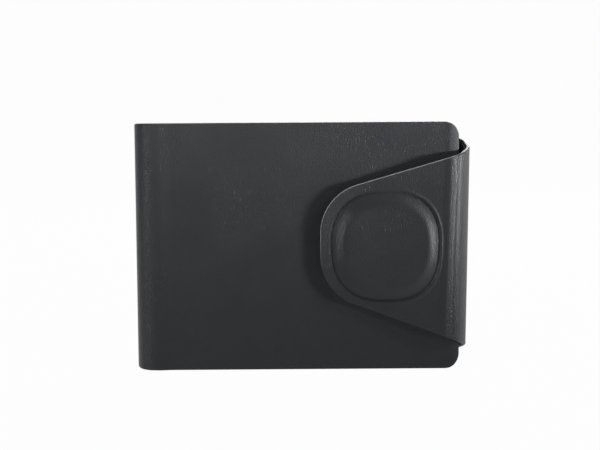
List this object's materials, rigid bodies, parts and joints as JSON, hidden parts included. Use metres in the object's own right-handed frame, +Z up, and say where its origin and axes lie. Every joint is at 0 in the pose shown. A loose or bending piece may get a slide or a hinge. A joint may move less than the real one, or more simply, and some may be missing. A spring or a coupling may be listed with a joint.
{
  "type": "card wallet",
  "caption": "Upright black leather bifold card wallet; a tapered flap wraps the open edge and a squircle magnet dome on its tongue holds the fold shut.",
  "frame": {"origin": "middle of the underside of the wallet's box, wallet standing on its lower edges, flap closed", "axes": "+X from the spine to the flap, +Y from the front cover to the back cover, +Z up; millimetre model stated in metres"},
  "size_m": [0.113, 0.0236, 0.084],
  "materials": {
    "hide": "smooth charcoal black leather, satin",
    "slot_leather": "thin black leather, satin",
    "lining": "black microfibre lining, matte",
    "board": "pressed fibre board, matte",
    "foam": "dense black foam, matte",
    "magnet": "nickel plate",
    "steel": "plain steel sheet"
  },
  "bodies": {
    "back": {"back_cover": "hide", "spine": "hide", "spine_lining": "lining", "back_board": "board", "back_lining": "lining", "back_card_panel": "slot_leather", "back_card_slot_1": "slot_leather", "back_card_slot_2": "slot_leather", "back_card_slot_3": "slot_leather"},
    "front": {"front_cover": "hide", "front_board": "board", "front_keeper": "steel", "front_lining": "lining", "front_card_panel": "slot_leather", "front_card_slot_1": "slot_leather", "front_card_slot_2": "slot_leather", "front_card_slot_3": "slot_leather"},
    "flap_bend": {"flap_side": "hide", "flap_side_lining": "lining"},
    "flap": {"flap_tongue": "hide", "flap_lining": "lining", "dome_insert": "foam", "flap_magnet": "magnet", "magnet_yoke": "steel"}
  },
  "joints": [
    {"name": "flap_lift", "type": "hinge", "parent": "flap_bend", "child": "flap", "pos_m": [0.05465, -0.00907, 0.042], "axis": [0, 0, 1], "range_deg": [0, 90]},
    {"name": "flap_root", "type": "hinge", "parent": "back", "child": "flap_bend", "pos_m": [0.05484, 0.00652, 0.042], "axis": [0, 0, 1], "range_deg": [0, 90]},
    {"name": "cover_gape", "type": "hinge", "parent": "back", "child": "front", "pos_m": [-0.04752, -0.00623, 0.042], "axis": [0, 0, -1], "range_deg": [0, 18]}
  ],
  "couplings": [
    {"joint": "flap_root", "follows": "flap_lift", "ratio": 1},
    {"joint": "cover_gape", "follows": "flap_lift", "ratio": 0.2}
  ]
}
